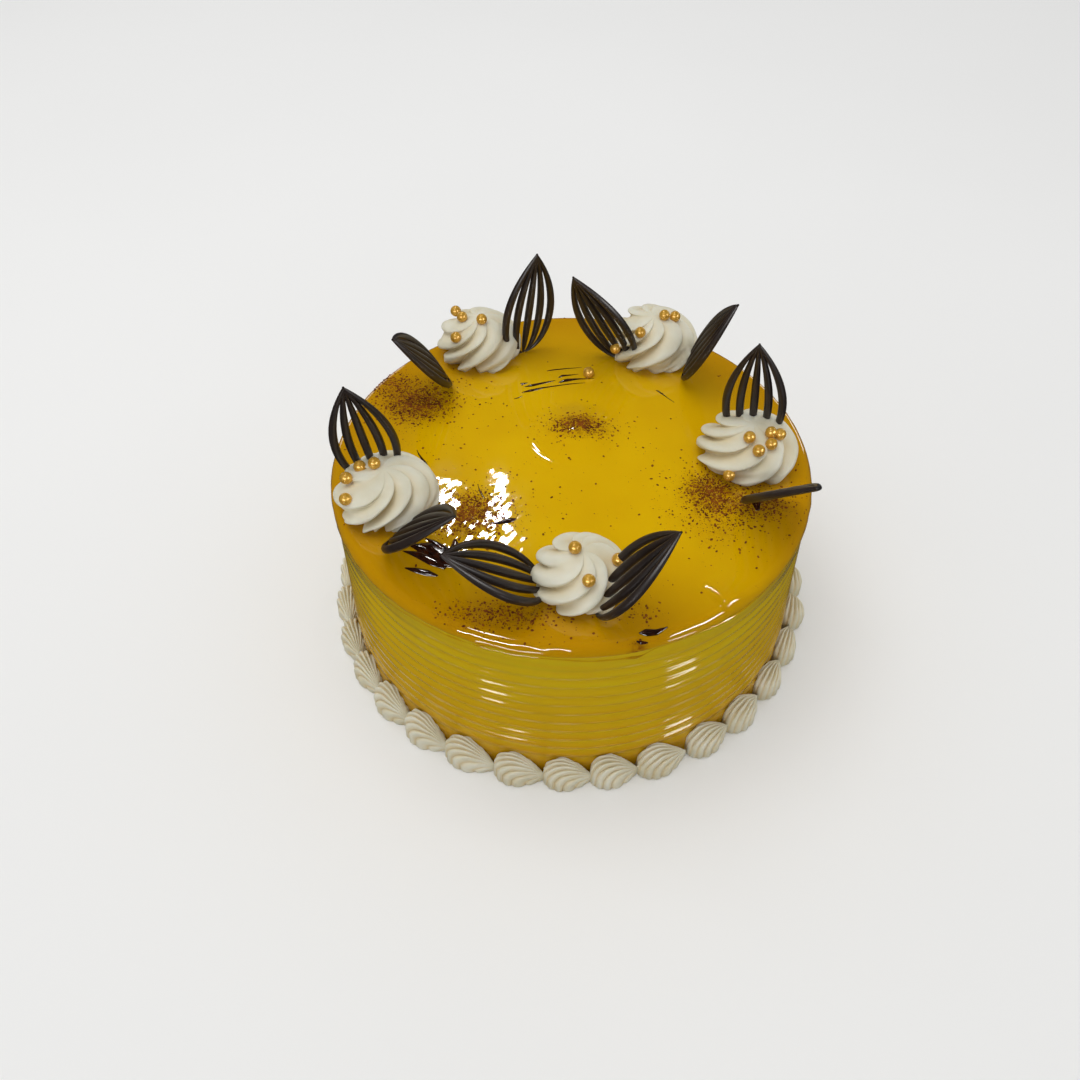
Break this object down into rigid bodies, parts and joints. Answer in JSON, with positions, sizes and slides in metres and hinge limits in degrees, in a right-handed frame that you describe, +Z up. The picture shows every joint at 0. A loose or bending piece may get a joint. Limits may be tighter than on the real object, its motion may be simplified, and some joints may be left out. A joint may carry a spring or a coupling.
{
  "type": "mango cream cake",
  "caption": "Round uncut cream cake with a combed side, a cap of mango glaze, piped rosettes with pearls and chocolate leaves, and a foot ring of piped shells.",
  "frame": {"origin": "centre of the cake's flat underside, on the surface that it stands on", "axes": "+Z up through the glazed top; -Y towards the front, where the rosette and its two leaves face the viewer; +X to the viewer's right"},
  "size_m": [0.2184, 0.2181, 0.1322],
  "materials": {
    "combed_cream": "cream combed into level ridges under a clear mango gel, glossy",
    "mango_glaze": "set mango mirror glaze, wet gloss, dusted with cocoa in places",
    "whipped_cream": "piped whipped cream, soft satin, with gold sugar pearls on the rosettes",
    "dark_chocolate": "moulded dark chocolate, satin"
  },
  "bodies": {
    "root": {"cake_body": "combed_cream", "glaze_cap": "mango_glaze", "rosette_front": "whipped_cream", "rosette_right": "whipped_cream", "rosette_back_right": "whipped_cream", "rosette_back_left": "whipped_cream", "rosette_left": "whipped_cream", "leaf_front_left": "dark_chocolate", "leaf_front_right": "dark_chocolate", "leaf_right_behind": "dark_chocolate", "leaf_right_before": "dark_chocolate", "leaf_back_right_inner": "dark_chocolate", "leaf_back_right_outer": "dark_chocolate", "leaf_back_left_inner": "dark_chocolate", "leaf_back_left_outer": "dark_chocolate", "leaf_left_behind": "dark_chocolate", "leaf_left_before": "dark_chocolate", "shell_01": "whipped_cream", "shell_02": "whipped_cream", "shell_03": "whipped_cream", "shell_04": "whipped_cream", "shell_05": "whipped_cream", "shell_06": "whipped_cream", "shell_07": "whipped_cream", "shell_08": "whipped_cream", "shell_09": "whipped_cream", "shell_10": "whipped_cream", "shell_11": "whipped_cream", "shell_12": "whipped_cream", "shell_13": "whipped_cream", "shell_14": "whipped_cream", "shell_15": "whipped_cream", "shell_16": "whipped_cream", "shell_17": "whipped_cream", "shell_18": "whipped_cream", "shell_19": "whipped_cream", "shell_20": "whipped_cream", "shell_21": "whipped_cream", "shell_22": "whipped_cream", "shell_23": "whipped_cream", "shell_24": "whipped_cream", "shell_25": "whipped_cream", "shell_26": "whipped_cream", "shell_27": "whipped_cream", "shell_28": "whipped_cream", "shell_29": "whipped_cream", "shell_30": "whipped_cream", "shell_31": "whipped_cream", "shell_32": "whipped_cream"}
  },
  "joints": []
}
